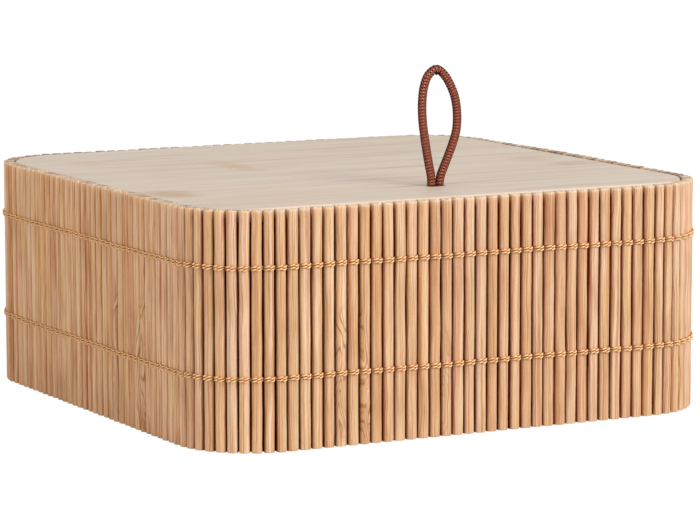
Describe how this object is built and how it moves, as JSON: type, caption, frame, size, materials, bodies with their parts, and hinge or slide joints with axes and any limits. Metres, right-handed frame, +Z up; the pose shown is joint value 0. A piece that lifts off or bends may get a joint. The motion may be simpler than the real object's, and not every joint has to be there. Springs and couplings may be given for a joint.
{
  "type": "bamboo box",
  "caption": "Square storage box with round corners: bamboo sticks bound by thread rows on a wooden liner, with a drop-in board lid lifted by a cord loop.",
  "frame": {"origin": "middle of the face that the box stands on", "axes": "+Z up; -Y is the front, the side that the pull loop is nearest to; +X to the right seen from the front"},
  "size_m": [0.2018, 0.2018, 0.1235],
  "materials": {
    "bamboo_sticks": "bare split bamboo, satin, vertical grain",
    "floor_wood": "bare plywood, matte",
    "lid_wood": "bare pale board, matte, fine straight grain",
    "binding_thread": "waxed twisted thread",
    "elastic_cord": "ribbed elastic cord, matte"
  },
  "bodies": {
    "case": {"wall_front": "bamboo_sticks", "wall_right": "bamboo_sticks", "wall_back": "bamboo_sticks", "wall_left": "bamboo_sticks", "corner_front_right": "bamboo_sticks", "corner_back_right": "bamboo_sticks", "corner_back_left": "bamboo_sticks", "corner_front_left": "bamboo_sticks", "floor_board": "floor_wood", "upper_thread_row": "binding_thread", "lower_thread_row": "binding_thread"},
    "lid": {"lid_board": "lid_wood", "cord_knot": "elastic_cord"},
    "loop": {"pull_loop": "elastic_cord"}
  },
  "joints": [
    {"name": "lid_lift", "type": "slide", "parent": "case", "child": "lid", "axis": [0, 0, 1], "range_m": [0, 0.1]},
    {"name": "loop_swing", "type": "hinge", "parent": "lid", "child": "loop", "pos_m": [0.0046, -0.0626, 0.0832], "axis": [1, 0, 0], "range_deg": [-80, 80], "stiffness_Nm_per_rad": 0.002}
  ]
}
